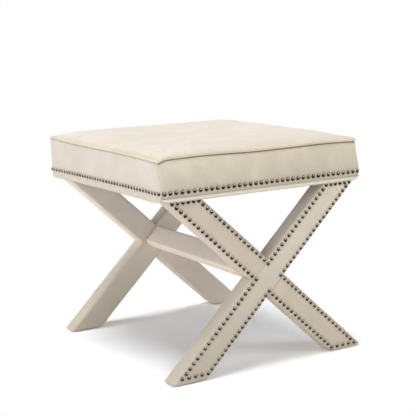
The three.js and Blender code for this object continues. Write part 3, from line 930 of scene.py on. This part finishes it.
def edge_place(side_name, walk):
    """A place on the seat's outline at the nail row and the way out, a walk from a corner seam."""
    half, beside = seat_half_y, seat_half_x
    if side_name in ("left", "right"):
        half, beside = beside, half
    arc = corner_radius * math.pi / 4
    straight = 2 * (beside - corner_radius)
    if walk < arc:
        angle = (walk - arc) / corner_radius
        along = -straight / 2 + corner_radius * math.sin(angle)
        out = half - corner_radius + corner_radius * math.cos(angle)
    elif walk > arc + straight:
        angle = (walk - arc - straight) / corner_radius
        along = straight / 2 + corner_radius * math.sin(angle)
        out = half - corner_radius + corner_radius * math.cos(angle)
    else:
        angle = 0.0
        along = walk - arc - straight / 2
        out = half
    turn = {"right": 0, "back": 90, "left": 180, "front": 270}[side_name]
    turned = Matrix.Rotation(math.radians(turn), 3, "Z")
    return turned @ Vector((out, along, 0)), turned @ Vector((math.cos(angle), math.sin(angle), 0))


def edge_length(side_name):
    """Length of one side of the seat's outline, from corner seam to corner seam."""
    beside = seat_half_y if side_name in ("left", "right") else seat_half_x
    return 2 * (beside - corner_radius) + corner_radius * math.pi / 2


def boxing_section(groove, fold):
    """The strip's section as (out, height) points, round from the inside top to the crease.

    The seam under the welt draws the strip in to a groove of some depth, and a fold of another
    depth sets off the rolled lip.
    """
    top = crease_z
    section = [(-boxing_inner, top - 0.001)]
    section += [(-boxing_inner, top + (rail_z - top) * step / 6) for step in range(1, 6)]
    section += [(-boxing_inner, rail_z), (-lip_inner, rail_z), (-lip_inner, lip_z + lip_round)]
    bottom_out = -lip_inner + lip_round
    for step in range(1, 5):
        turn = math.pi / 2 * step / 4
        section.append(
            (bottom_out - lip_round * math.cos(turn), lip_z + lip_round * (1 - math.sin(turn)))
        )
    heights = [0.0012, 0.0024, 0.0036, 0.0046, 0.0054, 0.0062, 0.0074, 0.009, 0.0105]
    heights += [0.0120 + 0.0014 * step for step in range(12)]
    rise = top - lip_z
    heights += [0.0302 + (rise - 0.0332) * step / 15 for step in range(16)]
    for height in heights:
        if height < nail_row_z - lip_z:
            share = height / (nail_row_z - lip_z)
            out = -lip_tuck * (1 - share) ** 2
            out -= fold * bell(height - fold_height, fold_width)
            out += 0.8 * fold * bell(height - roll_height, roll_width)
            out -= 0.0016 * max(0, 1 - height / 0.0024) ** 2
        else:
            share = (height + lip_z - nail_row_z) / (top - nail_row_z)
            out = -draw_in * smooth_step(share) - 0.0008 * math.sin(math.pi * share)
            out -= groove * bell(height - rise, groove_width)
        section.append((max(out, 0.0004 - boxing_inner), lip_z + height))
    for drop, share in ((0.0018, 0.86), (0.0003, 1.0)):
        section.append((max(-draw_in - groove * share, 0.0004 - boxing_inner), top - drop))
    return section


boxing_steps = 240
section_count = len(boxing_section(0, 0))
groove_depth = {"front": 0.0022, "right": 0.0012, "back": 0.0012, "left": 0.0}
fold_depth = {"front": 0.0020, "right": 0.0016, "back": 0.0016, "left": 0.0004}
# Painted shade in the crease under the welt and in the fold above the lip, for each side
fold_shade = {"front": 0.35, "right": 0.25, "back": 0.25, "left": 0.0}
crease_shade = {"front": 0.95, "right": 0.5, "back": 0.6, "left": 0.15}


def boxing_point(side_name, step_across, step_along):
    """A point of a boxing strip, with its seams drawn in and its surface slightly uneven."""
    length = edge_length(side_name)
    share = step_along / boxing_steps
    # Steps are shorter near the corners
    share = share - 0.08 * math.sin(2 * math.pi * share) / math.pi / 2
    walk = 0.00015 + (length - 0.0003) * share
    middle, outward = edge_place(side_name, walk)
    section = boxing_section(groove_depth[side_name], fold_depth[side_name])
    out, z = section[step_across % section_count]
    if out > -boxing_inner + 0.0005 and not (out < -lip_inner + 0.0004 and z <= rail_z):
        seam = min(walk, length - walk)
        out -= 0.0003 * bell(seam, 0.0016)
        place = middle + Vector((0, 0, z))
        out += 0.0006 * noise.noise(place * 16) + 0.00035 * noise.noise(place * 45)
    if z < lip_z + 0.006:
        z += 0.0007 * noise.noise(middle * 22)
    if z < nail_row_z:
        # The roll is pulled up a little at the corners
        turn_up = lip_turn_up * bell(min(walk, length - walk), 0.013)
        z += turn_up * (nail_row_z - z) / (nail_row_z - lip_z)
    if side_name == "left":
        # Here the strip laps up against the welt
        z += 0.0012 * smooth_step((z - 0.448) / (crease_z - 0.448))
    return middle + outward * out + Vector((0, 0, z))


# The nails of the side rows are hammered in a little deeper
seat_nail_gaps = {"front": 37, "right": 40, "back": 37, "left": 40}
hammered = {"front": 0, "right": 0.0005, "back": 0, "left": 0.0006}
seat_nails = {}
for side_name in ("front", "right", "back", "left"):
    gaps = seat_nail_gaps[side_name]
    length = edge_length(side_name)
    spots = []
    for step in range(gaps):
        middle, outward = edge_place(side_name, length * (step + 0.5) / gaps)
        wander = 0.0004 * noise.noise(middle * 400)
        middle = middle - outward * hammered[side_name]
        spots.append((middle + Vector((0, 0, nail_row_z + wander)), outward))
    seat_nails[side_name] = spots
    strip = wrap_strip(
        section_count,
        boxing_steps,
        lambda across, along: boxing_point(side_name, across, along),
    )
    bmesh.ops.holes_fill(strip, edges=strip.edges, sides=0)
    bmesh.ops.recalc_face_normals(strip, faces=strip.faces)
    press_down(strip, spots, seat_dimple, seat_dimple_reach)
    roll_light = strip.verts.layers.float.new("roll_light")
    crushed_shade = strip.verts.layers.float["pressed_shade"]
    for point in strip.verts:
        height = point.co.z - lip_z
        # Painted shade in the crease under the welt and in the fold above the lip
        point[crushed_shade] = max(
            point[crushed_shade],
            crease_shade[side_name] * bell(point.co.z - crease_z, 0.0022),
            fold_shade[side_name] * bell(height - fold_height, 0.0012),
        )
        # Painted light over the roll below the fold, less on its underside
        roll_lit = 0.15 + 0.8 * smooth_step(height / 0.0042)
        point[roll_light] = roll_lit * smooth_step((0.0088 - height) / 0.0020)
    settle(strip)
    for spot, _ in spots:
        spot.xyz = settled(spot)
    piece = make_piece(f"velvet_boxing_{side_name}", strip, boxing_velvet[side_name])
    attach(piece, "root")
    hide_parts(f"boxing_{side_name}")

# Welt: a cord in a bias-cut sleeve of the same velvet, sewn in between the top and the boxing. It
# dips to the corners with the top edge, and stands up to a soft point where it turns.
welt_radius = 0.0035
welt_z = 0.4603
welt_sides = 16
welt_steps = 240


def welt_point(step_across, step_along):
    """A point of the welt, a little fatter and thinner along its length."""
    side_name = ("right", "back", "left", "front")[step_along // welt_steps % 4]
    walk = edge_length(side_name) * (step_along % welt_steps) / welt_steps
    middle, outward = edge_place(side_name, walk)
    seam = min(walk, edge_length(side_name) - walk)
    corner = bell(seam, 0.007)
    angle = 2 * math.pi * step_across / welt_sides
    radius = welt_radius * (1 + 0.06 * noise.noise(middle * 70)) * (1 + 0.08 * corner)
    centre = middle - outward * (draw_in + welt_radius - 0.0008 * corner)
    z = welt_z + radius * math.sin(angle)
    return centre + outward * radius * math.cos(angle) + Vector((0, 0, z))


welt_form = wrap_strip(welt_sides, 4 * welt_steps, welt_point)
settle(welt_form)
# Its velvet is a darker, yellower copy of the top's: painted shade on the cord.
welt_velvet = ivory_velvet("ivory_velvet_welt", "#E9E0CC", "#E1D6C0", "#98866A")
piece = make_piece("velvet_welt", welt_form, welt_velvet)
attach(piece, "root")
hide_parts("welt")

# Seat nails: the same domes, driven through the boxing into the rails, 13 mm apart all round.
# Their painted highlights make a dotted line above the lip's roll.
for side_name, spots in seat_nails.items():
    drive_nails(f"nails_seat_{side_name}", spots)

# Dust cover: black spun-bonded cloth, stretched and stapled under the rails. It sags a little
# between them, and its heat bonds dot it with a fine, dull pattern.
bond_spacing = 0.0022
dust_sag = 0.0035
dust_low, dust_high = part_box("dust_cover")
dust_z = (dust_low.z + dust_high.z) / 2
dust_material, tree, shader, place = start_material("black_spunbond_cloth")
bonds = add_node(
    tree, "TexVoronoi", {"Vector": place, "Scale": 1 / bond_spacing}
).outputs["Distance"]
cloth_tone = blend(tree, bonds, "#232225", "#151416")
relief = bump(tree, bonds, 0.4, 0.0003)
set_inputs(tree, shader, {"Base Color": cloth_tone, "Normal": relief, "Roughness": 0.88})

dust_form = bmesh.new()
bmesh.ops.create_grid(dust_form, x_segments=60, y_segments=64, size=1.0)
for point in dust_form.verts:
    x, y = lay_out(point.co.x, point.co.y, foam_inset)
    inside_x = max(0.0, 1 - (x / 0.215) ** 2)
    inside_y = max(0.0, 1 - (y / 0.198) ** 2)
    sag = dust_sag * math.sqrt(inside_x * inside_y)
    ripple = 0.0005 * noise.noise(Vector((x, y, 0)) * 24) * min(1, 4 * inside_x * inside_y)
    point.co = Vector((x, y, dust_z + 0.0002 - sag + ripple))
piece = make_piece("black_dust_cover", dust_form, dust_material, 0.0004)
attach(piece, "root")
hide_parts("dust_cover")

# Floor and light: a white studio sweep under one broad overhead lamp, with a softer one on the
# left, a small one in front and pale walls that are lighter low down. The floor looks lighter to
# the camera than it lights the stool, so that only the shadow shows, and it fades to plain white.
shadow_reach = 0.31
plain_from = 0.54
floor_material, tree, shader, place = start_material("white_studio_floor")
set_inputs(tree, shader, {"Base Color": srgb("#F9F9FA"), "Roughness": 0.9})


def seen_rays(tree):
    """1 where the camera sees a place, also mirrored, and 0 where it only lights the stool."""
    rays = add_node(tree, "LightPath").outputs
    seen = rays["Is Camera Ray"]
    for kind in ("Is Glossy Ray", "Is Transmission Ray"):
        seen = add_node(tree, "Math", {0: seen, 1: rays[kind]}, operation="MAXIMUM").outputs[0]
    return seen


seen = seen_rays(tree)
away = add_node(tree, "VectorMath", {0: place}, operation="LENGTH").outputs["Value"]
fade = rescale(tree, away, (shadow_reach, plain_from))
fade = add_node(tree, "Math", {0: fade, 1: seen}, operation="MULTIPLY").outputs[0]
plain_white = add_node(tree, "Emission", {"Color": srgb("#FFFFFF"), "Strength": 1.0}).outputs[0]
extra_white = blend(tree, seen, "#000000", "#B5BABF")
extra = add_node(tree, "BsdfDiffuse", {"Color": extra_white}).outputs[0]
lit_floor = add_node(tree, "AddShader", {0: shader.outputs[0], 1: extra}).outputs[0]
floor_mix = add_node(tree, "MixShader", {0: fade, 1: lit_floor, 2: plain_white})
tree.links.new(floor_mix.outputs[0], tree.nodes["Material Output"].inputs["Surface"])

floor_form = bmesh.new()
bmesh.ops.create_grid(floor_form, x_segments=4, y_segments=4, size=9.0)
floor = make_piece("floor", floor_form, floor_material)

world = bpy.data.worlds.new("studio")
world.use_nodes = True
bpy.context.scene.world = world
tree = world.node_tree
walls = tree.nodes["Background"]
way_up = add_node(
    tree, "SeparateXYZ", {"Vector": add_node(tree, "TexCoord").outputs["Generated"]}
).outputs["Z"]
wall_light = rescale(tree, way_up, (0.0, 0.5), (1.15, 0.2))
set_inputs(tree, walls, {"Color": srgb("#F7F6FA"), "Strength": wall_light})
white = add_node(tree, "Background", {"Color": srgb("#FFFFFF"), "Strength": 1.0}).outputs[0]
world_mix = add_node(tree, "MixShader", {0: seen_rays(tree), 1: walls.outputs[0], 2: white})
tree.links.new(world_mix.outputs[0], tree.nodes["World Output"].inputs["Surface"])


def add_sun(name, direction, strength, spread, colour):
    """A far, broad lamp that shines from a direction, with an even light all over the floor.

    The spread is how wide it looks, in degrees: the wider, the softer the shadows.
    """
    data = bpy.data.lights.new(name, "SUN")
    data.energy = strength
    data.angle = math.radians(spread)
    data.color = srgb(colour)[:3]
    lamp = bpy.data.objects.new(name, data)
    lamp.matrix_world = Vector(direction).to_track_quat("Z", "Y").to_matrix().to_4x4()
    bpy.context.scene.collection.objects.link(lamp)


add_sun("overhead_lamp", (-0.10, 0.03, 1.0), 1.86, 36, "#FFFDFA")
add_sun("left_lamp", (-1.0, -0.08, 0.30), 0.65, 36, "#FFFDFA")
add_sun("front_lamp", (0.25, -1.0, 1.1), 0.40, 20, "#FFFDFA")

bpy.context.scene.view_settings.view_transform = "Standard"
